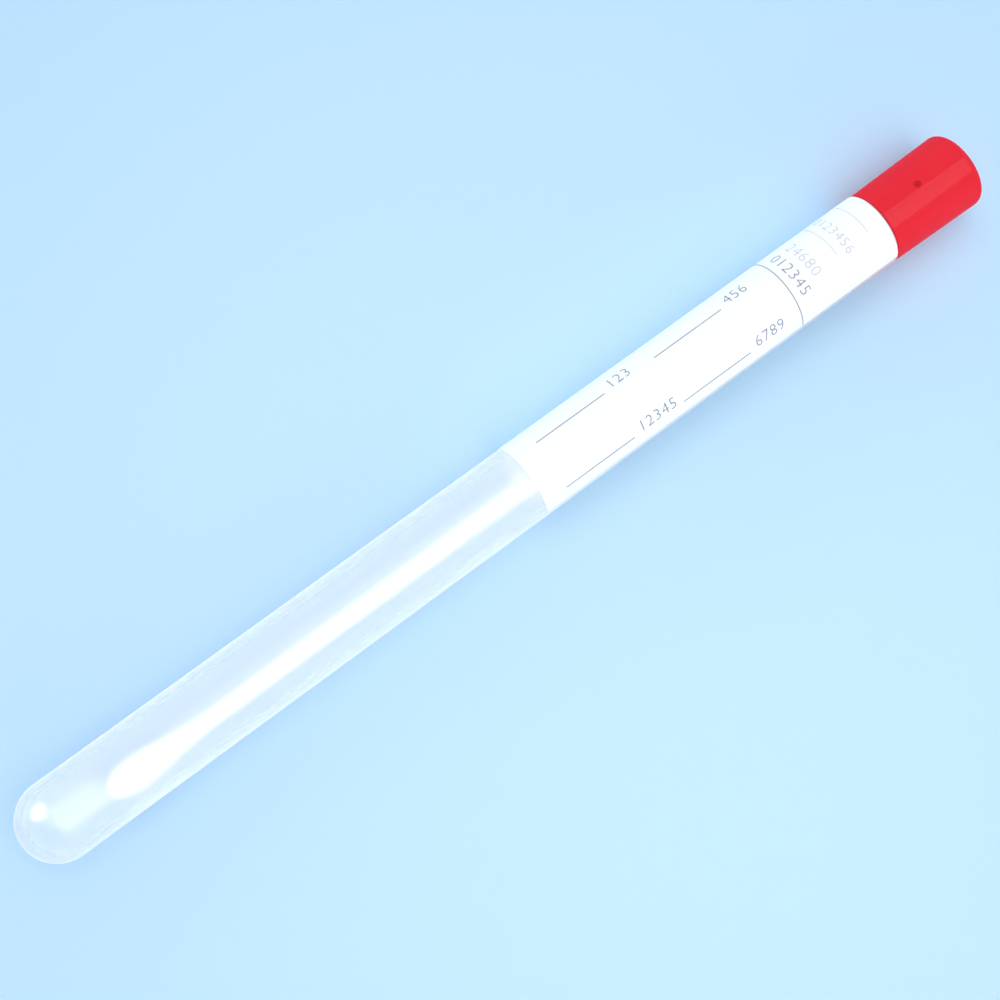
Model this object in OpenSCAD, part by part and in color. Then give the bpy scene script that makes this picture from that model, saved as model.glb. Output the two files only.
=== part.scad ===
// Specimen swab tube. A moulded tube with a round bottom wears a wrapped paper
// label, and a push-in cap with a hollow plug closes its mouth. The cap carries
// the swab: a stick pressed into the cap's socket, with a bud of wound fibre on
// its far end.
//
// The tube lies on its side. Its axis runs along X, with the round bottom
// towards -X and the cap towards +X. The origin is on the surface that it lies
// on, under the middle of its length.

/* [Tube] */
// Outside diameter of the tube
tube_od = 12.7; // [11.5:0.1:16]
// Length of the tube, from the tip of its round bottom to its mouth
tube_length = 165; // [120:1:200]
// Thickness of the wall at the mouth
wall = 1; // [0.7:0.05:1.3]
// Thickness of the round bottom at its tip
bottom_wall = 1.4; // [0.8:0.1:2.2]
// How much narrower the bore is at the round bottom than at the mouth
bore_draft = 0.3; // [0.1:0.05:0.6]
// Rounding of the rim's outer edge
rim_round = 0.3; // [0.1:0.05:0.35]
// Chamfer that leads the plug into the mouth
mouth_lead = 0.25; // [0.1:0.05:0.3]
// Diameter of the moulding mark at the tip of the round bottom
gate_ring_d = 2.4; // [1.6:0.1:4]
// Diameter of the stub that is left in the middle of that mark
gate_stub_d = 1; // [0.6:0.1:1.4]
// Depth of that mark
gate_depth = 0.25; // [0.1:0.05:0.5]

/* [Label] */
// Length of the label along the tube
label_length = 72.2; // [40:0.1:100]
// Width of the label, measured round the tube
label_width = 32.2; // [20:0.1:35]
// Thickness of the label's paper
label_thickness = 0.1; // [0.06:0.01:0.2]
// Bare tube between the label and the mouth
label_to_mouth = 0.3; // [0.1:0.1:10]
// Where the label's near edge lies, in degrees round the tube from its top
label_edge_at = 67; // [0:1:180]

/* [Cap] */
// Length of the cap outside the tube
cap_length = 18.6; // [12:0.1:30]
// How much narrower the cap is than the tube where they meet
cap_step = 0; // [0:0.05:0.5]
// How much wider the cap is at its outer end than where it meets the tube
cap_flare = 0.6; // [0:0.05:1.5]
// Rounding of the cap's outer edge
cap_round = 1.2; // [0.4:0.1:2]
// Rounding of the cap's edge at the tube
shoulder_round = 0.2; // [0.05:0.05:0.3]
// Thickness of the cap's closed end
cap_end_wall = 2; // [1:0.1:4]
// Diameter of the moulding mark on the cap's side
cap_gate_d = 1.2; // [0.6:0.1:1.6]
// Depth of that mark
cap_gate_depth = 0.15; // [0.05:0.05:0.4]
// Distance of that mark from the tube's mouth
cap_gate_at = 8.1; // [3:0.1:9]
// Where that mark lies, in degrees round the cap from its top
cap_gate_turn = -14; // [-180:1:180]

/* [Plug] */
// Length of the plug inside the tube
plug_length = 9; // [6:0.5:14]
// Wall of the hollow plug
plug_wall = 1.1; // [0.7:0.1:1.3]
// Chamfer round the tip of the plug
plug_lead = 0.6; // [0.2:0.1:0.7]
// Number of sealing rings on the plug
seal_count = 2; // [1:1:3]
// Width of a sealing ring
seal_width = 1.6; // [1:0.1:2]
// Height of a sealing ring above the plug
seal_height = 0.25; // [0.15:0.05:0.4]
// Gap all round between a sealing ring and the bore
seal_clearance = 0.04; // [0.02:0.01:0.08]
// Diameter of the boss that holds the stick
boss_d = 5; // [4:0.1:6]
// How far the stick's socket in the boss reaches above the tube's mouth
socket_rise = 5; // [0:0.5:10]
// Number of ribs between the boss and the inside of the cap
rib_count = 4; // [2:1:6]
// Thickness of a rib
rib_width = 0.9; // [0.6:0.1:1.4]
// Distance of the ribs' edges from the tip of the plug
rib_recess = 7; // [2:0.5:12]

/* [Swab] */
// Diameter of the stick
shaft_d = 2.5; // [1.8:0.1:3]
// Chamfer on both ends of the stick
shaft_chamfer = 0.3; // [0.1:0.05:0.6]
// Diameter of the bud where it is widest
bud_d = 5.2; // [4.2:0.1:6]
// Length of the bud
bud_length = 17; // [12:0.5:24]
// Distance of the bud's widest place from its tip
bud_nose = 5.5; // [3:0.5:8]
// Thickness of the fibre round the stick at the bud's thin end
bud_tail = 0.2; // [0.1:0.05:0.6]
// Fibre between the end of the stick and the tip of the bud
bud_cover = 1.6; // [1:0.1:3]
// Free space between the bud's tip and the bottom of the bore
bud_to_bottom = 13; // [4:0.5:30]
// How far the bud hangs to one side of the tube's axis
bud_offset = 1.25; // [0:0.05:1.8]

/* [Hidden] */
// Sides of a full circle
$fn = 96;
// Overshoot that carries a cut clear past a face
past = 1;

tube_r = tube_od / 2;
bore_r = tube_r - wall;
bore_bottom_r = bore_r - bore_draft / 2;
// The plug's seat is a straight stretch of bore, a little deeper than the plug
seat_depth = plug_length + past;
bottom_centre_z = bottom_wall + bore_bottom_r;

label_r = tube_r + label_thickness;
label_sweep = 360 * label_width / (PI * tube_od);
label_top_z = tube_length - label_to_mouth;

cap_mouth_r = tube_r - cap_step / 2;
cap_end_r = cap_mouth_r + cap_flare / 2;
seal_r = bore_r - seal_clearance;
plug_r = seal_r - seal_height;
core_r = plug_r - plug_wall;
// A sealing ring is the outer slice of a circle of this radius
seal_arc_r = (pow(seal_width / 2, 2) + pow(seal_height, 2)) / (2 * seal_height);

// The stick's upper end stands on the bottom of the socket, and the swab leans
// about that point
shaft_top_z = tube_length + socket_rise;
// The socket is cut from there clear past the tip of the plug
socket_cut = socket_rise + plug_length + past;
bud_tip_z = bottom_wall + bud_to_bottom;
shaft_length = shaft_top_z - bud_tip_z - bud_cover;
swab_lean = asin(bud_offset / (shaft_top_z - bud_tip_z - bud_nose));
bud_steps = 24;

overall_length = tube_length + cap_length;
axis_height = max(label_r, cap_end_r);

// Lays the tube's own frame down: its Z axis, which runs from the tip of the
// round bottom to the mouth, comes to lie along X
module lay_down() {
    translate([-overall_length / 2, 0, axis_height])
        rotate([0, 90, 0])
            children();
}

// Turns a shape on the tube's +X side to a place given in degrees from the top
module turn_from_top(degrees) {
    rotate([0, 0, 180 + degrees])
        children();
}

// Stands the swab in its socket, hanging down from z = 0
module in_socket() {
    translate([0, 0, shaft_top_z])
        rotate([-swab_lean, 0, 0])
            children();
}

// A disc of the given radius and height whose top edge is rounded
module round_topped(r, h, edge) {
    cylinder(r = r, h = h - edge);
    cylinder(r = r - edge, h = h);
    translate([0, 0, h - edge])
        rotate_extrude()
            translate([r - edge, 0])
                circle(r = edge, $fn = 48);
}

module tube_outside() {
    translate([0, 0, tube_r])
        sphere(r = tube_r);
    translate([0, 0, tube_r])
        round_topped(tube_r, tube_length - tube_r, rim_round);
}

// Core of the tube: straight where the plug seats, tapered below it, and round
// at the bottom
module tube_bore() {
    translate([0, 0, bottom_centre_z])
        sphere(r = bore_bottom_r);
    translate([0, 0, bottom_centre_z])
        cylinder(r1 = bore_bottom_r, r2 = bore_r, h = tube_length - seat_depth - bottom_centre_z);
    translate([0, 0, tube_length - seat_depth])
        cylinder(r = bore_r, h = seat_depth + past);
    translate([0, 0, tube_length - mouth_lead])
        cylinder(r1 = bore_r, r2 = bore_r + mouth_lead + past, h = mouth_lead + past);
}

// Ring-shaped dimple at the tip, round the stub where the plastic came in
module tube_gate() {
    translate([0, 0, gate_depth - past])
        difference() {
            cylinder(d = gate_ring_d, h = past);
            cylinder(d = gate_stub_d, h = past);
        }
}

module tube() {
    color([0.84, 0.92, 0.97, 0.6])
        lay_down()
            difference() {
                tube_outside();
                tube_bore();
                tube_gate();
            }
}

module label() {
    color([0.98, 0.98, 0.97])
        lay_down()
            turn_from_top(label_edge_at - label_sweep)
                rotate_extrude(angle = label_sweep)
                    translate([tube_r, label_top_z - label_length])
                        square([label_thickness, label_length]);
}

// The cap's grip stands on z = 0, the plane of the tube's mouth
module cap_grip() {
    straight = cap_length - cap_round;
    cylinder(r = cap_mouth_r - shoulder_round, h = straight);
    translate([0, 0, shoulder_round])
        rotate_extrude()
            translate([cap_mouth_r - shoulder_round, 0])
                circle(r = shoulder_round, $fn = 48);
    translate([0, 0, shoulder_round])
        cylinder(r1 = cap_mouth_r, r2 = cap_end_r, h = straight - shoulder_round);
    translate([0, 0, straight])
        rotate_extrude()
            translate([cap_end_r - cap_round, 0])
                circle(r = cap_round, $fn = 48);
    cylinder(r = cap_end_r - cap_round, h = cap_length);
}

// The plug hangs below z = 0, with its sealing rings evenly spaced
module cap_plug() {
    seal_pitch = plug_length / (seal_count + 1);
    translate([0, 0, -plug_length])
        cylinder(r1 = plug_r - plug_lead, r2 = plug_r, h = plug_lead);
    translate([0, 0, plug_lead - plug_length])
        cylinder(r = plug_r, h = plug_length - plug_lead);
    for (i = [1 : seal_count])
        translate([0, 0, -i * seal_pitch])
            rotate_extrude()
                intersection() {
                    translate([seal_r - seal_arc_r, 0])
                        circle(r = seal_arc_r);
                    translate([core_r, -seal_width / 2])
                        square([seal_r - core_r + past, seal_width]);
                }
}

// Hollow inside the plug and grip, round the boss and between the ribs
module cap_core() {
    depth = plug_length + cap_length - cap_end_wall;
    difference() {
        translate([0, 0, -plug_length - past])
            cylinder(r = core_r, h = depth + past);
        translate([0, 0, -plug_length - 2 * past])
            cylinder(d = boss_d, h = depth + 3 * past);
        for (i = [0 : rib_count - 1])
            rotate([0, 0, i * 360 / rib_count])
                translate([0, -rib_width / 2, rib_recess - plug_length])
                    cube([core_r + past, rib_width, depth]);
    }
}

// Shallow round mark on the grip's side, where the plastic came in
module cap_gate() {
    reach = cap_mouth_r + cap_flare / 2 * cap_gate_at / cap_length - cap_gate_depth;
    turn_from_top(cap_gate_turn)
        translate([reach, 0, cap_gate_at])
            rotate([0, 90, 0])
                cylinder(d = cap_gate_d, h = past);
}

module cap() {
    color([0.88, 0.17, 0.22])
        lay_down()
            difference() {
                translate([0, 0, tube_length])
                    difference() {
                        union() {
                            cap_grip();
                            cap_plug();
                        }
                        cap_core();
                        cap_gate();
                    }
                in_socket()
                    translate([0, 0, -socket_cut])
                        cylinder(d = shaft_d, h = socket_cut);
            }
}

module shaft_form() {
    shaft_r = shaft_d / 2;
    translate([0, 0, -shaft_length]) {
        cylinder(r1 = shaft_r - shaft_chamfer, r2 = shaft_r, h = shaft_chamfer);
        translate([0, 0, shaft_chamfer])
            cylinder(r = shaft_r, h = shaft_length - 2 * shaft_chamfer);
        translate([0, 0, shaft_length - shaft_chamfer])
            cylinder(r1 = shaft_r, r2 = shaft_r - shaft_chamfer, h = shaft_chamfer);
    }
}

module shaft() {
    color([0.95, 0.95, 0.94])
        lay_down()
            in_socket()
                shaft_form();
}

// Radius of the bud at a height above its tip: a round nose, then a long tail
// that draws in to the stick
function bud_radius(z) =
    z <= bud_nose
    ? bud_d / 2 * sqrt(1 - pow(1 - z / bud_nose, 2))
    : let (tail_r = shaft_d / 2 + bud_tail)
      tail_r + (bud_d / 2 - tail_r) * (1 + cos(180 * (z - bud_nose) / (bud_length - bud_nose))) / 2;

module bud_form() {
    // Steps are closer together on the nose, where the outline turns fastest
    heights = [for (i = [0 : bud_steps]) bud_length * pow(i / bud_steps, 1.6)];
    rotate_extrude()
        polygon(concat(
            [for (z = heights) [bud_radius(z), z]],
            [[0, bud_length]]
        ));
}

module bud() {
    color([0.97, 0.97, 0.96])
        lay_down()
            in_socket()
                difference() {
                    translate([0, 0, bud_tip_z - shaft_top_z])
                        bud_form();
                    shaft_form();
                }
}

tube();
label();
cap();
shaft();
bud();
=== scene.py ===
"""Specimen swab tube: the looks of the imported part, in metres and in its own frame.

The tube lies along X with its round bottom towards -X and its cap towards +X.
"""

import math

import bmesh
import bpy
from mathutils import Matrix, Vector


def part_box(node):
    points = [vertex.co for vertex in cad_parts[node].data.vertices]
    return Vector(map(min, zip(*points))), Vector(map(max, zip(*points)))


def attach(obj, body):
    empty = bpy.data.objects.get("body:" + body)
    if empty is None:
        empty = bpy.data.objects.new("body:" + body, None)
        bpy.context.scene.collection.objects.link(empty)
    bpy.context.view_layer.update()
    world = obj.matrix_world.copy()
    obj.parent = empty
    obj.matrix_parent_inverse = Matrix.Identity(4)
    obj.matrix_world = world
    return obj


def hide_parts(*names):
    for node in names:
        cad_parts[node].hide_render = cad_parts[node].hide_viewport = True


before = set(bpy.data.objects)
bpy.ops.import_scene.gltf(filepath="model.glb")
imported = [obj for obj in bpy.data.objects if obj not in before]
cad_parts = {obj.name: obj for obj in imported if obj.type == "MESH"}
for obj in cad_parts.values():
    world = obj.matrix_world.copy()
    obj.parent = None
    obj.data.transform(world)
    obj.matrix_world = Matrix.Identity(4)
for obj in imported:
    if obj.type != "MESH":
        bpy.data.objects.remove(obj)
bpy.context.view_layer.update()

# ---------------------------------------------------------------------------
# Camera
# It stands high above the tube's round bottom and looks down, leaning towards
# the cap. It is turned so that the tube climbs across the picture.
# ---------------------------------------------------------------------------
camera_place = Vector((-0.0797, 0.0, 0.3284))
camera_target = Vector((-0.0037, -0.0001, 0.0066))
lens = 77.0
# The tube's axis climbs to the right of the picture at this angle
axis_climb = math.radians(35.97)

back = (camera_place - camera_target).normalized()
along = (Vector((1, 0, 0)) - back * back.x).normalized()
across = back.cross(along)
right = along * math.cos(axis_climb) - across * math.sin(axis_climb)
up = along * math.sin(axis_climb) + across * math.cos(axis_climb)

camera_data = bpy.data.cameras.new("camera")
camera_data.lens = lens
camera = bpy.data.objects.new("camera", camera_data)
camera.matrix_world = (
    Matrix.Translation(camera_place)
    @ Matrix((right, up, back)).transposed().to_4x4()
)
bpy.context.scene.collection.objects.link(camera)
bpy.context.scene.camera = camera
bpy.context.scene.view_settings.view_transform = "Standard"

# ---------------------------------------------------------------------------
# Stage
# A plain pale blue floor under one wide soft box, with the falloff of its light painted
# into the floor's colour. A panel overhead and a low round lamp behind the tube give it
# gloss, and the world fills the shadows.
# ---------------------------------------------------------------------------
floor_side = 3.0
floor_colour = (0.575, 0.82, 1.0, 1)
painted_dim_floor_colour = (0.40, 0.60, 0.92, 1)
# Painted light falloff: the floor's colour is palest here, and is painted darker evenly all round as
# far as the reach
painted_light_centre = (-0.006, -0.046, 0.0)
painted_falloff_reach = 0.334
backdrop_colour = (0.97, 0.985, 1.0, 1)
fill_colour = (0.84, 0.95, 1.08, 1)
overhead_fill = 0.25
horizon_fill = 3.0
# Height, from 0 at the horizon to 1 overhead, at which the bright horizon ends
horizon_top = 0.5


def new_material(name):
    """A material with the output and Principled shader of a new node tree."""
    material = bpy.data.materials.new(name)
    material.use_nodes = True
    tree = material.node_tree
    return material, tree, tree.nodes["Principled BSDF"]


def add_node(tree, kind, inputs=None, **settings):
    """Adds a node, sets its properties, and gives its inputs their values or links."""
    node = tree.nodes.new(kind)
    for name, value in settings.items():
        setattr(node, name, value)
    for name, value in (inputs or {}).items():
        if isinstance(value, bpy.types.NodeSocket):
            tree.links.new(value, node.inputs[name])
        else:
            node.inputs[name].default_value = value
    return node


def blended(tree, factor, colour_a, colour_b):
    """A colour between two, by a factor."""
    mix = add_node(
        tree, "ShaderNodeMix", {"Factor": factor, "A": colour_a, "B": colour_b}, data_type="RGBA"
    )
    return mix.outputs["Result"]


def maths(tree, operation, first, second=0.0):
    """The result of a sum on one or two numbers."""
    return add_node(tree, "ShaderNodeMath", {0: first, 1: second}, operation=operation).outputs[0]


def distance_between(tree, first, second):
    """The distance between two places."""
    return add_node(
        tree, "ShaderNodeVectorMath", {0: first, 1: second}, operation="DISTANCE"
    ).outputs["Value"]


def object_place(tree):
    """Object coordinates, as a node's output."""
    return add_node(tree, "ShaderNodeTexCoord").outputs["Object"]


def add_object(name, mesh):
    """An object for a mesh, linked to the scene."""
    piece = bpy.data.objects.new(name, mesh)
    bpy.context.scene.collection.objects.link(piece)
    return piece


floor_mesh = bpy.data.meshes.new("floor")
half_floor = floor_side / 2
floor_mesh.from_pydata(
    [(-half_floor, -half_floor, 0), (half_floor, -half_floor, 0),
     (half_floor, half_floor, 0), (-half_floor, half_floor, 0)],
    [],
    [(0, 1, 2, 3)],
)
floor = add_object("floor", floor_mesh)
floor_finish, tree, shader = new_material("floor_board")
# The falloff of the lamps' light across the floor is painted into its colour
from_centre = distance_between(tree, object_place(tree), painted_light_centre)
fade = add_node(
    tree, "ShaderNodeMapRange", {"Value": from_centre, "From Max": painted_falloff_reach},
    interpolation_type="SMOOTHSTEP",
)
tree.links.new(
    blended(tree, fade.outputs["Result"], floor_colour, painted_dim_floor_colour),
    shader.inputs["Base Color"],
)
shader.inputs["Roughness"].default_value = 0.6
shader.inputs["Specular IOR Level"].default_value = 0.2
floor_mesh.materials.append(floor_finish)

world = bpy.data.worlds.new("studio")
bpy.context.scene.world = world
world.use_nodes = True
tree = world.node_tree
tree.nodes.clear()
paths = add_node(tree, "ShaderNodeLightPath").outputs
seen = maths(tree, "MAXIMUM", paths["Is Camera Ray"], paths["Is Glossy Ray"])
seen = maths(tree, "MAXIMUM", seen, paths["Is Transmission Ray"])
way = add_node(tree, "ShaderNodeTexCoord").outputs["Generated"]
height = add_node(tree, "ShaderNodeSeparateXYZ", {0: way}).outputs["Z"]
strength = add_node(
    tree, "ShaderNodeMapRange",
    {"Value": height, "From Max": horizon_top, "To Min": horizon_fill, "To Max": overhead_fill},
)
fill = add_node(
    tree, "ShaderNodeBackground", {"Color": fill_colour, "Strength": strength.outputs["Result"]}
)
backdrop = add_node(tree, "ShaderNodeBackground", {"Color": backdrop_colour, "Strength": 1.0})
mixed = add_node(
    tree, "ShaderNodeMixShader", {0: seen, 1: fill.outputs[0], 2: backdrop.outputs[0]}
)
add_node(tree, "ShaderNodeOutputWorld", {"Surface": mixed.outputs[0]})


def add_lamp(name, place, target, shape, size, radiance):
    """An area lamp at a place, turned to a target. Its radiance is its brightness where
    a mirror shows it, with 1 as white."""
    lamp = bpy.data.lights.new(name, "AREA")
    lamp.shape = shape
    lamp.size = size[0]
    lamp.size_y = size[1]
    area = size[0] * size[1] * (1 if shape == "RECTANGLE" else math.pi / 4)
    lamp.energy = radiance * math.pi * area
    holder = bpy.data.objects.new(name, lamp)
    holder.location = place
    holder.rotation_euler = (Vector(place) - Vector(target)).to_track_quat("Z", "Y").to_euler()
    holder.visible_camera = False
    bpy.context.scene.collection.objects.link(holder)
    return holder


# The light and the shapes seen in gloss come from separate lamps
softbox = add_lamp(
    "softbox", place=(0.035, -0.09, 0.70), target=(0.035, -0.09, 0), shape="RECTANGLE",
    size=(0.40, 1.30), radiance=2.72,
)
softbox.visible_glossy = False
gloss_panel = add_lamp(
    "gloss_panel", place=(0.18, -0.175, 0.70), target=(0.18, -0.175, 0), shape="ELLIPSE",
    size=(0.76, 0.92), radiance=3.6,
)
gloss_panel.visible_diffuse = False
round_lamp = add_lamp(
    "round_lamp", place=(-0.43, 0.53, 0.40), target=(-0.085, 0, 0.0065), shape="ELLIPSE",
    size=(0.5, 0.5), radiance=8.0,
)
round_lamp.visible_diffuse = False

# ---------------------------------------------------------------------------
# Tube
# One moulding of natural polypropylene, clear but for a light haze. Its outside
# is smooth, and the steel core that formed the bore left that side duller.
# ---------------------------------------------------------------------------
MM = 0.001
tube_low, tube_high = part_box("tube")
axis_height = (tube_low.z + tube_high.z) / 2
tube_radius = (tube_high.z - tube_low.z) / 2
wall_thickness = 1.0 * MM
bottom_wall = 1.4 * MM
bore_radius = tube_radius - wall_thickness
# The bore narrows this much towards the round bottom, so that the core draws out
bore_draft = 0.15 * MM
bore_bottom_radius = bore_radius - bore_draft
seat_depth = 10.0 * MM
rim_round = 0.3 * MM
mouth_lead = 0.25 * MM
gate_ring_radius = 1.2 * MM
gate_stub_radius = 0.5 * MM
gate_depth = 0.25 * MM
tube_sides = 180
round_steps = 30
side_steps = 12
rim_steps = 6
seat_steps = 3
crease_angle = math.radians(35)
weld_distance = 0.001 * MM
streak_grain = (25, 900, 900)
streak_colour = (0.985, 0.992, 1.0, 1)
wall_colour = (0.995, 0.998, 1.0, 1)
outside_roughness = 0.22
bore_roughness = 0.3
# The bore's finish gives way to the outside's between these distances from the axis
bore_finish_ends = 5.5 * MM
outside_finish_starts = 5.7 * MM
haze_colour = (0.96, 0.98, 1.0, 1)
haze_share = 0.2
rim_haze_share = 1.0
# How far edge on the wall is seen, from 0 to 1, where the haze thickens and is full
haze_thickens = 0.3
haze_full = 0.8
# How much of a lamp's light comes through. The milky wall gathers it from all round, so
# what lies close inside is lit a little more than fully
upper_wall_light = (1.08, 1.08, 1.08, 1)
lower_wall_light = (0.75, 0.79, 0.86, 1)
# Below the axis, the label leaves the tube bare from here towards -Y
bare_side = -0.6 * tube_radius


def stretched_noise(tree, place, scale, detail=3.0, roughness=0.5):
    """Noise whose grain has the given number of lumps in a metre along X, Y and Z."""
    mapping = add_node(tree, "ShaderNodeMapping", {"Vector": place, "Scale": scale})
    noise = add_node(
        tree, "ShaderNodeTexNoise",
        {"Vector": mapping.outputs[0], "Scale": 1.0, "Detail": detail, "Roughness": roughness},
    )
    return noise.outputs["Fac"]


def new_shape_tree(name, sizes):
    """A Geometry Nodes tree with a mesh going in and out, and named sizes."""
    tree = bpy.data.node_groups.new(name, "GeometryNodeTree")
    tree.interface.new_socket("Geometry", in_out="INPUT", socket_type="NodeSocketGeometry")
    tree.interface.new_socket("Geometry", in_out="OUTPUT", socket_type="NodeSocketGeometry")
    for size in sizes:
        tree.interface.new_socket(size, in_out="INPUT", socket_type="NodeSocketFloat")
    return tree, add_node(tree, "NodeGroupInput").outputs


def end_tree(tree, geometry, material):
    """Ends a tree in plain faces of one material."""
    solid = add_node(tree, "GeometryNodeRealizeInstances", {"Geometry": geometry})
    finished = add_node(tree, "GeometryNodeSetMaterial", {"Geometry": solid.outputs[0]})
    finished.inputs["Material"].default_value = material
    add_node(tree, "NodeGroupOutput", {"Geometry": finished.outputs[0]})


def grown(name, mesh, tree, sizes):
    """The plain mesh that a tree makes of a mesh."""
    seed = add_object("seed", mesh)
    modifier = seed.modifiers.new("shape", "NODES")
    modifier.node_group = tree
    for socket in tree.interface.items_tree:
        if socket.in_out == "INPUT" and socket.name in sizes:
            modifier[socket.identifier] = sizes[socket.name]
    whole = seed.evaluated_get(bpy.context.evaluated_depsgraph_get())
    shape = bpy.data.meshes.new_from_object(whole)
    shape.name = name
    seed.modifiers.remove(modifier)
    bpy.data.objects.remove(seed)
    return shape


def arc_points(centre, radius, start, end, steps):
    """Points on an arc in a section, each a place along the axis and a distance from it."""
    turns = [math.radians(start + (end - start) * step / steps) for step in range(steps + 1)]
    return [(centre[0] + radius * math.cos(t), centre[1] + radius * math.sin(t)) for t in turns]


def straight_points(start, end, steps):
    """Points between two others, without those two."""
    shares = [step / steps for step in range(1, steps)]
    return [tuple(a + (b - a) * share for a, b in zip(start, end)) for share in shares]


def tube_section():
    """Half of the tube's section, from the tip outside to the tip of the bore."""
    tip = tube_low.x
    mouth = tube_high.x
    gate_floor = tip + gate_depth
    ring_x = tip + tube_radius - math.sqrt(tube_radius ** 2 - gate_ring_radius ** 2)
    stub_x = tip + tube_radius - math.sqrt(tube_radius ** 2 - gate_stub_radius ** 2)
    ring_turn = 180 - math.degrees(math.asin(gate_ring_radius / tube_radius))
    points = [(tip, 0.0), (stub_x, gate_stub_radius), (gate_floor, gate_stub_radius)]
    points += [(gate_floor, gate_ring_radius), (ring_x, gate_ring_radius)]
    points += arc_points((tip + tube_radius, 0.0), tube_radius, ring_turn, 90, round_steps)[1:]
    points += straight_points(points[-1], (mouth - rim_round, tube_radius), side_steps)
    rim_centre = (mouth - rim_round, tube_radius - rim_round)
    points += arc_points(rim_centre, rim_round, 90, 0, rim_steps)
    points += [(mouth, bore_radius + mouth_lead), (mouth - mouth_lead, bore_radius)]
    points += straight_points(points[-1], (mouth - seat_depth, bore_radius), seat_steps)
    points += [(mouth - seat_depth, bore_radius)]
    bore_centre = tip + bottom_wall + bore_bottom_radius
    points += straight_points(points[-1], (bore_centre, bore_bottom_radius), side_steps)
    points += arc_points((bore_centre, 0.0), bore_bottom_radius, 90, 180, round_steps)
    return points


def capsule_distance(tree, place):
    """Distance from the tube's axis, which ends at the middle of the round bottom."""
    spot = add_node(tree, "ShaderNodeSeparateXYZ", {0: place}).outputs
    past_end = maths(tree, "SUBTRACT", spot["X"], tube_low.x + tube_radius)
    past_end = maths(tree, "MINIMUM", past_end, 0.0)
    rise = maths(tree, "SUBTRACT", spot["Z"], axis_height)
    offset = add_node(tree, "ShaderNodeCombineXYZ", {0: past_end, 1: spot["Y"], 2: rise})
    return add_node(
        tree, "ShaderNodeVectorMath", {0: offset.outputs[0]}, operation="LENGTH"
    ).outputs["Value"]


tube_finish, tree, shader = new_material("polypropylene")
place = object_place(tree)
streaks = stretched_noise(tree, place, streak_grain)
colour = blended(tree, streaks, streak_colour, wall_colour)
tree.links.new(colour, shader.inputs["Base Color"])
skin_roughness = add_node(
    tree, "ShaderNodeMapRange",
    {"Value": capsule_distance(tree, place),
     "From Min": bore_finish_ends, "From Max": outside_finish_starts,
     "To Min": bore_roughness, "To Max": outside_roughness},
)
tree.links.new(skin_roughness.outputs["Result"], shader.inputs["Roughness"])
shader.inputs["IOR"].default_value = 1.49
shader.inputs["Transmission Weight"].default_value = 1.0
shader.inputs["Coat Weight"].default_value = 0.6
shader.inputs["Coat Roughness"].default_value = 0.12
shader.inputs["Coat IOR"].default_value = 1.5

# The haze scatters light to both sides, more where the wall is seen edge on
haze_front = add_node(tree, "ShaderNodeBsdfDiffuse", {"Color": haze_colour})
haze_back = add_node(tree, "ShaderNodeBsdfTranslucent", {"Color": haze_colour})
haze = add_node(
    tree, "ShaderNodeMixShader", {0: 0.5, 1: haze_front.outputs[0], 2: haze_back.outputs[0]}
)
edge_on = add_node(tree, "ShaderNodeLayerWeight", {"Blend": 0.5})
share = add_node(
    tree, "ShaderNodeMapRange",
    {"Value": edge_on.outputs["Facing"], "From Min": haze_thickens, "From Max": haze_full,
     "To Min": haze_share, "To Max": rim_haze_share},
)
wall = add_node(
    tree, "ShaderNodeMixShader",
    {0: share.outputs["Result"], 1: shader.outputs[0], 2: haze.outputs[0]},
).outputs[0]

# Lamps reach what the tube holds through its upper half, and less of their light goes
# on through its lower half. Under the label, only the side left bare is as dim
spot = add_node(tree, "ShaderNodeSeparateXYZ", {0: place}).outputs
above = maths(tree, "GREATER_THAN", spot["Z"], axis_height)
labelled = maths(tree, "GREATER_THAN", spot["X"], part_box("label")[0].x)
covered = maths(tree, "GREATER_THAN", spot["Y"], bare_side)
light = maths(tree, "MAXIMUM", above, maths(tree, "MULTIPLY", labelled, covered))
lit_through = add_node(
    tree, "ShaderNodeBsdfTransparent",
    {"Color": blended(tree, light, lower_wall_light, upper_wall_light)},
).outputs[0]
paths = add_node(tree, "ShaderNodeLightPath").outputs
for ray in ("Is Diffuse Ray", "Is Shadow Ray"):
    wall = add_node(
        tree, "ShaderNodeMixShader", {0: paths[ray], 1: wall, 2: lit_through}
    ).outputs[0]
tree.links.new(wall, tree.nodes["Material Output"].inputs["Surface"])

# The section is turned about the axis: each point of a grid takes its place from the
# section, by its row, and its turn by its column
tree, sizes = new_shape_tree("turned_section", ("Sides", "Axis Height"))
section_size = add_node(
    tree, "GeometryNodeAttributeDomainSize", {"Geometry": sizes["Geometry"]}
).outputs["Point Count"]
columns = maths(tree, "ADD", sizes["Sides"], 1.0)
grid = add_node(
    tree, "GeometryNodeMeshGrid", {"Vertices X": columns, "Vertices Y": section_size}
)
number = add_node(tree, "GeometryNodeInputIndex").outputs[0]
row = maths(tree, "FLOORED_MODULO", number, section_size)
middle = maths(tree, "ADD", number, 0.5)
column = maths(tree, "FLOOR", maths(tree, "DIVIDE", middle, section_size))
section_place = add_node(
    tree, "GeometryNodeSampleIndex", data_type="FLOAT_VECTOR", domain="POINT"
)
tree.links.new(sizes["Geometry"], section_place.inputs["Geometry"])
tree.links.new(add_node(tree, "GeometryNodeInputPosition").outputs[0], section_place.inputs["Value"])
tree.links.new(row, section_place.inputs["Index"])
section_spot = add_node(
    tree, "ShaderNodeSeparateXYZ", {0: section_place.outputs["Value"]}
).outputs
turn = maths(tree, "DIVIDE", maths(tree, "MULTIPLY", column, math.tau), sizes["Sides"])
round_y = maths(tree, "MULTIPLY", section_spot["Y"], maths(tree, "COSINE", turn))
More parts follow.
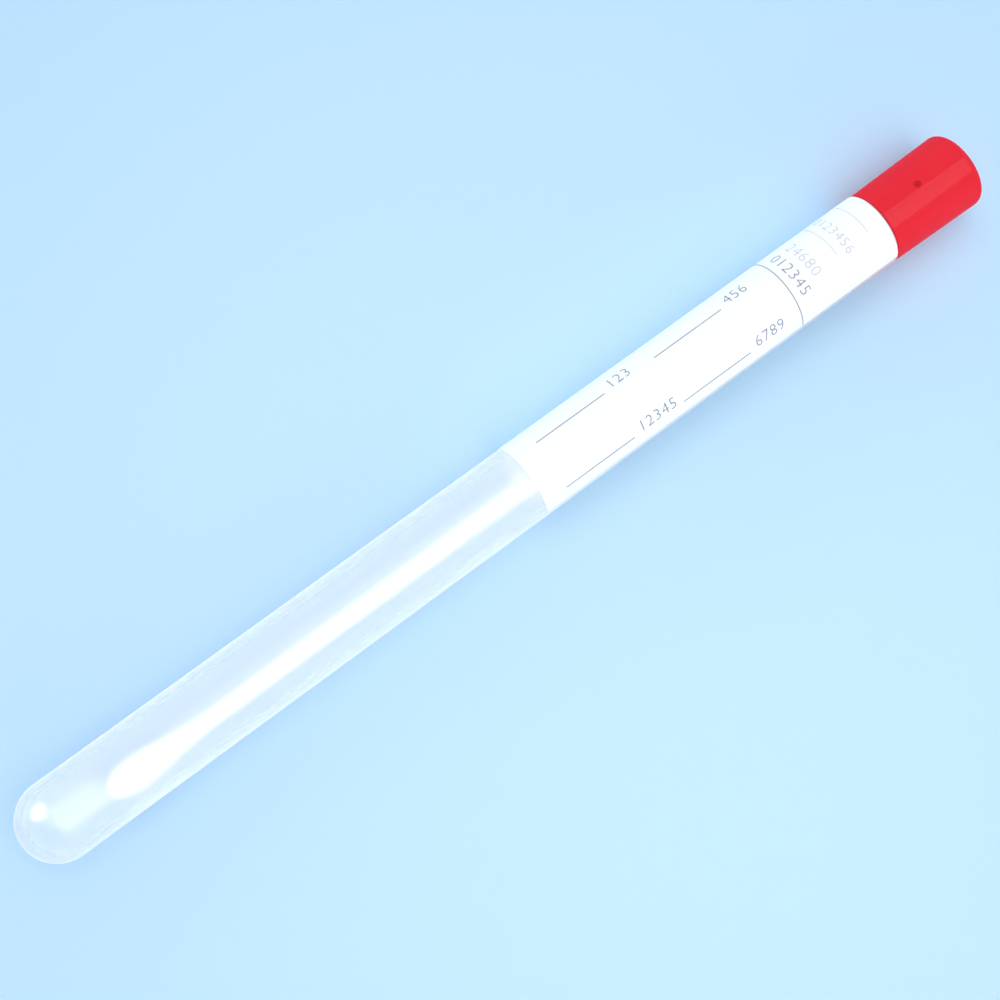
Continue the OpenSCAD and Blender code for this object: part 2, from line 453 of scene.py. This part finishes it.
round_z = maths(tree, "MULTIPLY", section_spot["Y"], maths(tree, "SINE", turn))
round_z = maths(tree, "ADD", round_z, sizes["Axis Height"])
turned_place = add_node(
    tree, "ShaderNodeCombineXYZ", {0: section_spot["X"], 1: round_y, 2: round_z}
)
turned = add_node(
    tree, "GeometryNodeSetPosition",
    {"Geometry": grid.outputs["Mesh"], "Position": turned_place.outputs[0]},
)
closed = add_node(
    tree, "GeometryNodeMergeByDistance", {"Geometry": turned.outputs[0], "Distance": weld_distance}
)
corner = add_node(tree, "GeometryNodeInputMeshEdgeAngle").outputs["Unsigned Angle"]
crisp = maths(tree, "GREATER_THAN", corner, crease_angle)
creased = add_node(
    tree, "GeometryNodeSetShadeSmooth",
    {"Geometry": closed.outputs[0], "Selection": crisp, "Shade Smooth": False}, domain="EDGE",
)
end_tree(tree, creased.outputs[0], tube_finish)

section_points = [(x, reach, 0.0) for x, reach in tube_section()]
section_mesh = bpy.data.meshes.new("tube_section")
section_mesh.from_pydata(
    section_points, [(step, step + 1) for step in range(len(section_points) - 1)], []
)
tube_mesh = grown(
    "moulded_tube", section_mesh, tree, {"Sides": float(tube_sides), "Axis Height": axis_height}
)
moulded_tube = add_object("moulded_tube", tube_mesh)
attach(moulded_tube, "tube")
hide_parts("tube")

# ---------------------------------------------------------------------------
# Label
# A strip of white paper wound most of the way round the upper half of the tube
# and held by its own glue. Its matt face shows the grain of the paper.
# ---------------------------------------------------------------------------
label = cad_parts["label"]
label_low, label_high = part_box("label")
paper_grain = (2500, 3500, 3500)
paper_grain_depth = 0.006 * MM
grey_fibre_colour = (0.945, 0.93, 0.92, 1)
white_fibre_colour = (0.975, 0.96, 0.95, 1)
paper_glow_colour = (0.95, 0.95, 0.94, 1)
paper_shade_colour = (0.15, 0.15, 0.15, 1)
# How far from its open end the paper lets the lamps in fully, and where that ends
glow_full = 4 * MM
glow_end = 12 * MM


def add_bump(tree, shader, height, depth):
    """Raises the surface by a height from 0 to 1 times a depth in metres."""
    bump = add_node(
        tree, "ShaderNodeBump", {"Height": height, "Strength": 1.0, "Distance": depth}
    )
    tree.links.new(bump.outputs[0], shader.inputs["Normal"])


label_finish, tree, shader = new_material("paper")
place = object_place(tree)
grain = stretched_noise(tree, place, paper_grain, detail=4.0)
colour = blended(tree, grain, grey_fibre_colour, white_fibre_colour)
tree.links.new(colour, shader.inputs["Base Color"])
shader.inputs["Roughness"].default_value = 0.62
shader.inputs["Specular IOR Level"].default_value = 0.35
add_bump(tree, shader, grain, paper_grain_depth)
# Lamps shine in through the thin paper above the axis, near the label's open end
spot = add_node(tree, "ShaderNodeSeparateXYZ", {0: place}).outputs
near_end = add_node(
    tree, "ShaderNodeMapRange",
    {"Value": spot["X"],
     "From Min": label_low.x + glow_full, "From Max": label_low.x + glow_end,
     "To Min": 1.0, "To Max": 0.0},
).outputs["Result"]
lit = maths(tree, "MULTIPLY", maths(tree, "GREATER_THAN", spot["Z"], axis_height), near_end)
glow = add_node(
    tree, "ShaderNodeBsdfTransparent",
    {"Color": blended(tree, lit, paper_shade_colour, paper_glow_colour)},
).outputs[0]
paths = add_node(tree, "ShaderNodeLightPath").outputs
sheet = add_node(
    tree, "ShaderNodeMixShader", {0: paths["Is Shadow Ray"], 1: shader.outputs[0], 2: glow}
)
tree.links.new(sheet.outputs[0], tree.nodes["Material Output"].inputs["Surface"])
label.data.materials[0] = label_finish

# ---------------------------------------------------------------------------
# Label print
# Thin grey ink on the paper: rules to write on, each with plain numerals beside
# it, a rule and a row of numerals round the tube, and paler marks by the cap.
# ---------------------------------------------------------------------------
paper_radius = label_high.z - axis_height
ink_lift = 0.012 * MM
ink_depth = 0.010 * MM
ink_colour = (0.20, 0.21, 0.30, 1)
pale_ink_colour = (0.60, 0.61, 0.66, 1)
rule_width = 0.15 * MM
pale_rule_width = 0.1 * MM
# Numerals are drawn in millimetres and brought to metres when they are placed
numeral_size = 2.9
small_numeral_size = 2.6
numeral_spacing = 1.06
# The strokes of the numerals lose this share of their size
stroke_thinning = 0.018
# The rules to write on, by their turn round the tube, and the numerals beside them
row_turns = (-44.5, 35.3, 115.1, 194.9)
row_numerals = (("12345", "6789"), ("123", "456"), ("12345", "6789"), ("123", "456"))
# Places along the label, from its end away from the cap
rule_spans = ((4.2 * MM, 17.7 * MM), (27.6 * MM, 41.3 * MM))
numeral_starts = (18.9 * MM, 42.6 * MM)
numeral_lift = 0.1 * MM
artwork_weld = 0.0001 * MM
ring_at = 51.95 * MM
ring_turns = (-66, 222)
# The ink is pale from here to the cap
ink_turns_pale = 56.1 * MM
ink_all_pale = 56.3 * MM
# Rows of numerals round the tube: text, size, place along the label and turn
round_rows = (
    ("012345", numeral_size, 53.3 * MM, 0),
    ("24680", numeral_size, 56.6 * MM, 0),
    ("0123456", small_numeral_size, 63.6 * MM, 15),
)
round_row_turns = (60, 204)
pale_rule_places = (62.0 * MM, 68.6 * MM)
pale_rule_turns = (0, 75)


def arc(turn):
    """The way round the paper, in metres, for an angle in degrees from the top towards +Y."""
    return paper_radius * math.radians(turn)


def bar(low_x, high_x, low_y, high_y):
    """A flat bar of ink, cut into short lengths so that it can be wrapped."""
    columns = max(1, round((high_x - low_x) / MM))
    rows = max(1, round((high_y - low_y) / MM))
    ys = [low_y + (high_y - low_y) * row / rows for row in range(rows + 1)]
    section = [(y, 0.0) for y in ys] + [(y, ink_depth) for y in reversed(ys)]
    around = len(section)
    points = []
    for column in range(columns + 1):
        x = low_x + (high_x - low_x) * column / columns
        points += [(x, y, z) for y, z in section]
    faces = []
    for low in range(0, columns * around, around):
        high = low + around
        for step in range(around):
            after = (step + 1) % around
            faces.append((low + step, low + after, high + after, high + step))
    last = columns * around
    for row in range(rows):
        over = around - 1 - row
        faces.append((row, over, over - 1, row + 1))
        faces.append((last + row, last + row + 1, last + over - 1, last + over))
    mesh = bpy.data.meshes.new("bar")
    mesh.from_pydata(points, [], faces)
    return mesh


def numerals(text, size, x, y, turned=False):
    """A row of numerals of ink whose lower left corner is at x, y. It reads towards +X, or
    towards -Y if turned."""
    letters = bpy.data.curves.new("numerals", "FONT")
    letters.body = text
    letters.size = size
    letters.space_character = numeral_spacing
    letters.resolution_u = 2
    letters.offset = -stroke_thinning * size
    letters.extrude = ink_depth / 2 / MM
    holder = bpy.data.objects.new("numerals", letters)
    mesh = bpy.data.meshes.new_from_object(holder)
    bpy.data.objects.remove(holder)
    turn = Matrix.Rotation(-math.pi / 2, 4, "Z") if turned else Matrix.Identity(4)
    mesh.transform(
        Matrix.Translation((x, y, ink_depth / 2)) @ turn @ Matrix.Scale(MM, 4)
    )
    return mesh


def joined(name, meshes):
    """One mesh made of several."""
    whole = bmesh.new()
    for mesh in meshes:
        whole.from_mesh(mesh)
    bmesh.ops.remove_doubles(whole, verts=whole.verts, dist=artwork_weld)
    bmesh.ops.recalc_face_normals(whole, faces=whole.faces)
    mesh = bpy.data.meshes.new(name)
    whole.to_mesh(mesh)
    whole.free()
    return mesh


ink_finish, tree, shader = new_material("ink")
place = object_place(tree)
along_label = add_node(tree, "ShaderNodeSeparateXYZ", {0: place}).outputs["X"]
paler = add_node(
    tree, "ShaderNodeMapRange",
    {"Value": along_label,
     "From Min": label_low.x + ink_turns_pale, "From Max": label_low.x + ink_all_pale},
)
colour = blended(tree, paler.outputs["Result"], ink_colour, pale_ink_colour)
tree.links.new(colour, shader.inputs["Base Color"])
shader.inputs["Roughness"].default_value = 0.5

tree, sizes = new_shape_tree("wrap_round_tube", ("Radius", "Axis Height"))
fine = add_node(tree, "GeometryNodeSubdivideMesh", {"Mesh": sizes["Geometry"], "Level": 2})
flat = add_node(
    tree, "ShaderNodeSeparateXYZ", {0: add_node(tree, "GeometryNodeInputPosition").outputs[0]}
).outputs
turn = maths(tree, "DIVIDE", flat["Y"], sizes["Radius"])
reach = maths(tree, "ADD", flat["Z"], sizes["Radius"])
round_y = maths(tree, "MULTIPLY", reach, maths(tree, "SINE", turn))
round_z = maths(tree, "MULTIPLY", reach, maths(tree, "COSINE", turn))
round_z = maths(tree, "ADD", round_z, sizes["Axis Height"])
curved = add_node(tree, "ShaderNodeCombineXYZ", {0: flat["X"], 1: round_y, 2: round_z})
wrapped = add_node(
    tree, "GeometryNodeSetPosition", {"Geometry": fine.outputs[0], "Position": curved.outputs[0]}
)
end_tree(tree, wrapped.outputs[0], ink_finish)

start = label_low.x
artwork = []
for turn, texts in zip(row_turns, row_numerals):
    line = arc(turn)
    for span, text, numeral_start in zip(rule_spans, texts, numeral_starts):
        artwork.append(
            bar(start + span[0], start + span[1], line - rule_width / 2, line + rule_width / 2)
        )
        artwork.append(
            numerals(text, numeral_size, start + numeral_start, line + numeral_lift)
        )
ring_low = start + ring_at - rule_width / 2
ring_high = start + ring_at + rule_width / 2
artwork.append(bar(ring_low, ring_high, arc(ring_turns[0]), arc(ring_turns[1])))
for turn in round_row_turns:
    for text, size, row_at, further in round_rows:
        artwork.append(numerals(text, size, start + row_at, arc(turn + further), turned=True))
for rule_at in pale_rule_places:
    rule_low = start + rule_at
    artwork.append(
        bar(rule_low, rule_low + pale_rule_width, arc(pale_rule_turns[0]), arc(pale_rule_turns[1]))
    )
print_mesh = grown(
    "label_print", joined("artwork", artwork), tree,
    {"Radius": paper_radius + ink_lift, "Axis Height": axis_height},
)
label_print = add_object("label_print", print_mesh)
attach(label_print, "tube")

# ---------------------------------------------------------------------------
# Cap
# One moulding of red polyethylene, pushed into the mouth. Its satin skin has a
# faint ripple, and it is a little darker round the mark where it was filled.
# ---------------------------------------------------------------------------
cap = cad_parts["cap"]
cap_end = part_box("cap")[1].x
# The filling mark lies on the side, a little round from the top towards +Y
mark_from_end = 10.5 * MM
mark_reach = 6.41 * MM
mark_turn = math.radians(14)
filling_mark = (
    cap_end - mark_from_end,
    mark_reach * math.sin(mark_turn),
    axis_height + mark_reach * math.cos(mark_turn),
)
mark_colour = (0.56, 0.012, 0.024, 1)
mark_core_radius = 0.25 * MM
mark_radius = 0.85 * MM
deep_red = (0.80, 0.020, 0.034, 1)
light_red = (0.85, 0.026, 0.042, 1)
cloud_grain = (120, 160, 160)
ripple_grain = (1200, 1800, 1800)
ripple_depth = 0.004 * MM
cap_roughness = (0.44, 0.52)
# Nearly all of the noise lies between these
noise_low = 0.3
noise_high = 0.7


def between(tree, noise, ends):
    """A number that runs from one end to the other with the noise."""
    ramp = add_node(
        tree, "ShaderNodeMapRange",
        {"Value": noise, "From Min": noise_low, "From Max": noise_high,
         "To Min": ends[0], "To Max": ends[1]},
    )
    return ramp.outputs["Result"]


cap_finish, tree, shader = new_material("red_polyethylene")
place = object_place(tree)
clouds = stretched_noise(tree, place, cloud_grain)
colour = blended(tree, clouds, deep_red, light_red)
away = add_node(
    tree, "ShaderNodeMapRange",
    {"Value": distance_between(tree, place, filling_mark),
     "From Min": mark_core_radius, "From Max": mark_radius},
).outputs["Result"]
colour = blended(tree, away, mark_colour, colour)
tree.links.new(colour, shader.inputs["Base Color"])
ripple = stretched_noise(tree, place, ripple_grain, detail=2.0)
tree.links.new(between(tree, clouds, cap_roughness), shader.inputs["Roughness"])
shader.inputs["Specular IOR Level"].default_value = 0.0
shader.inputs["Coat Weight"].default_value = 0.15
shader.inputs["Coat Roughness"].default_value = 0.08
add_bump(tree, shader, ripple, ripple_depth)
cap.data.materials[0] = cap_finish

# ---------------------------------------------------------------------------
# Stick
# A rod of white plastic, drawn through a round die that left fine lines along
# it. Its end is pressed into the socket inside the cap.
# ---------------------------------------------------------------------------
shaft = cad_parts["shaft"]
line_grain = (40, 6000, 6000)
line_depth = 0.004 * MM
dull_white = (0.87, 0.87, 0.86, 1)
clean_white = (0.91, 0.91, 0.90, 1)
stick_roughness = (0.30, 0.42)
shaft_finish, tree, shader = new_material("white_plastic")
place = object_place(tree)
lines = stretched_noise(tree, place, line_grain)
colour = blended(tree, lines, dull_white, clean_white)
tree.links.new(colour, shader.inputs["Base Color"])
tree.links.new(between(tree, lines, stick_roughness), shader.inputs["Roughness"])
add_bump(tree, shader, lines, line_depth)
shaft.data.materials[0] = shaft_finish

# ---------------------------------------------------------------------------
# Bud
# Spun white fibre, wound on the end of the stick into a soft bud with a round
# nose and a long thin tail. Loose ends of the fibre stand a little proud of it.
# ---------------------------------------------------------------------------
shaft_low, shaft_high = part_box("shaft")
bud_low, bud_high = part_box("bud")
stick_radius = (shaft_high.z - shaft_low.z) / 2
stick_foot = Vector((shaft_low.x, shaft_low.y + stick_radius, axis_height))
stick_head = Vector((shaft_high.x, shaft_high.y - stick_radius, axis_height))
swab_axis = (stick_head - stick_foot).normalized()
bud_tip = stick_foot + swab_axis * ((bud_low.x - stick_foot.x) / swab_axis.x)
bud_radius = (bud_high.z - bud_low.z) / 2
bud_length = (bud_high.x - bud_low.x) / swab_axis.x
bud_nose = 4.2 * MM
tail_thickness = 0.2 * MM
bud_tail = stick_radius + tail_thickness
windings = 11
winding_depth = 0.05 * MM
bud_rings = 90
bud_sides = 72
# The rings of the skin crowd towards the nose by this power
ring_crowding = 1.5
# The grooves reach their depth over this share of the rings, counted from the nose
groove_start = 1 / 3
strand_count = 1500
strand_length = 2.4 * MM
strand_radius = 0.016 * MM
# A strand lies bowed: its ends drop and its middle rises by these shares of its length
strand_drop = 0.13
strand_rise = 0.06
# Strands slant up to this much from the way round the bud
strand_slant = 0.55
strand_handle = 0.4
shortest_strand = 0.6
longest_strand = 1.15
strewing_seed = 7
slant_seed = 3
length_seed = 5
fibre_grain = (900, 4000, 4000)
fibre_depth = 0.01 * MM
shaded_fibre_colour = (0.96, 0.96, 0.955, 1)
white_wool_colour = (0.99, 0.99, 0.985, 1)

bud_finish, tree, shader = new_material("spun_fibre")
place = object_place(tree)
fibres = stretched_noise(tree, place, fibre_grain, detail=5.0)
colour = blended(tree, fibres, shaded_fibre_colour, white_wool_colour)
tree.links.new(colour, shader.inputs["Base Color"])
shader.inputs["Roughness"].default_value = 0.95
shader.inputs["Sheen Weight"].default_value = 0.6
add_bump(tree, shader, fibres, fibre_depth)


def bud_outline(height):
    """Radius of the bud at a height above its tip."""
    if height <= bud_nose:
        return bud_radius * math.sqrt(max(0.0, 1 - (1 - height / bud_nose) ** 2))
    fade = (1 + math.cos(math.pi * (height - bud_nose) / (bud_length - bud_nose))) / 2
    return bud_tail + (bud_radius - bud_tail) * fade


def wound_bud(rings, sides):
    """The bud's closed skin, with a shallow groove between the turns of the winding."""
    side = Vector((0, 0, 1))
    other = swab_axis.cross(side)
    points = [bud_tip]
    for ring in range(1, rings + 1):
        height = bud_length * (ring / rings) ** ring_crowding
        depth = winding_depth * min(1, ring / rings / groove_start)
        for step in range(sides):
            turn = math.tau * step / sides
            phase = windings * math.tau * height / bud_length + turn
            crossed = windings * math.tau * height / bud_length - 2 * turn
            groove = (2 - math.sin(phase) - math.sin(crossed)) / 4
            reach = bud_outline(height) - depth * groove
            points.append(
                bud_tip + swab_axis * height
                + (side * math.cos(turn) + other * math.sin(turn)) * reach
            )
    points.append(bud_tip + swab_axis * bud_length)
    faces = [(0, 1 + (step + 1) % sides, 1 + step) for step in range(sides)]
    for ring in range(rings - 1):
        low = 1 + ring * sides
        for step in range(sides):
            after = (step + 1) % sides
            faces.append((low + step, low + after, low + sides + after, low + sides + step))
    last = 1 + (rings - 1) * sides
    faces += [(last + step, last + (step + 1) % sides, len(points) - 1) for step in range(sides)]
    mesh = bpy.data.meshes.new("bud_skin")
    mesh.from_pydata(points, [], faces)
    skin = bmesh.new()
    skin.from_mesh(mesh)
    bmesh.ops.recalc_face_normals(skin, faces=skin.faces)
    for face in skin.faces:
        face.smooth = True
    skin.to_mesh(mesh)
    skin.free()
    return mesh


def vector_maths(tree, operation, first, second):
    """The result of a sum on two vectors."""
    return add_node(
        tree, "ShaderNodeVectorMath", {0: first, 1: second}, operation=operation
    ).outputs["Vector"]


def scattered(tree, low, high, seed):
    """A number between two for each strand."""
    number = add_node(tree, "FunctionNodeRandomValue", data_type="FLOAT")
    for socket in number.inputs:
        if socket.enabled and socket.name in ("Min", "Max", "Seed"):
            socket.default_value = {"Min": low, "Max": high, "Seed": seed}[socket.name]
    return next(o for o in number.outputs if o.enabled)


tree, sizes = new_shape_tree("spun_strands", ("Strands", "Strand Length", "Strand Radius"))
strewn = add_node(
    tree, "GeometryNodeDistributePointsOnFaces",
    {"Mesh": sizes["Geometry"], "Density": sizes["Strands"], "Seed": strewing_seed},
)
bow = add_node(tree, "GeometryNodeCurvePrimitiveBezierSegment", {"Resolution": 6})
half = maths(tree, "MULTIPLY", sizes["Strand Length"], 0.5)
drop = maths(tree, "MULTIPLY", sizes["Strand Length"], -strand_drop)
rise = maths(tree, "MULTIPLY", sizes["Strand Length"], strand_rise)
for socket, x, z in (
    ("Start", maths(tree, "MULTIPLY", half, -1.0), drop),
    ("Start Handle", maths(tree, "MULTIPLY", half, -strand_handle), rise),
    ("End Handle", maths(tree, "MULTIPLY", half, strand_handle), rise),
    ("End", half, drop),
):
    point = add_node(tree, "ShaderNodeCombineXYZ", {0: x, 2: z})
    tree.links.new(point.outputs[0], bow.inputs[socket])
section = add_node(
    tree, "GeometryNodeCurvePrimitiveCircle", {"Resolution": 4, "Radius": sizes["Strand Radius"]}
)
strand = add_node(
    tree, "GeometryNodeCurveToMesh",
    {"Curve": bow.outputs[0], "Profile Curve": section.outputs[0], "Fill Caps": True},
)
outwards = strewn.outputs["Normal"]
round_way = vector_maths(tree, "CROSS_PRODUCT", tuple(swab_axis), outwards)
slant = scattered(tree, -strand_slant, strand_slant, slant_seed)
slanted = add_node(
    tree, "ShaderNodeVectorMath", {0: tuple(swab_axis), "Scale": slant}, operation="SCALE"
).outputs["Vector"]
lie = vector_maths(tree, "ADD", round_way, slanted)
facing = add_node(
    tree, "FunctionNodeAlignEulerToVector", {"Vector": outwards}, axis="Z"
)
laid = add_node(
    tree, "FunctionNodeAlignEulerToVector",
    {"Rotation": facing.outputs[0], "Vector": lie}, axis="X", pivot_axis="Z",
)
strands = add_node(
    tree, "GeometryNodeInstanceOnPoints",
    {"Points": strewn.outputs["Points"], "Instance": strand.outputs[0],
     "Rotation": laid.outputs[0],
     "Scale": scattered(tree, shortest_strand, longest_strand, length_seed)},
)
whole = add_node(tree, "GeometryNodeJoinGeometry")
tree.links.new(sizes["Geometry"], whole.inputs[0])
tree.links.new(strands.outputs[0], whole.inputs[0])
end_tree(tree, whole.outputs[0], bud_finish)

skin = wound_bud(bud_rings, bud_sides)
skin_area = sum(face.area for face in skin.polygons)
bud_mesh = grown(
    "wound_bud", skin, tree,
    {"Strands": strand_count / skin_area, "Strand Length": strand_length,
     "Strand Radius": strand_radius},
)
wound_bud_piece = add_object("wound_bud", bud_mesh)
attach(wound_bud_piece, "swab")
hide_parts("bud")
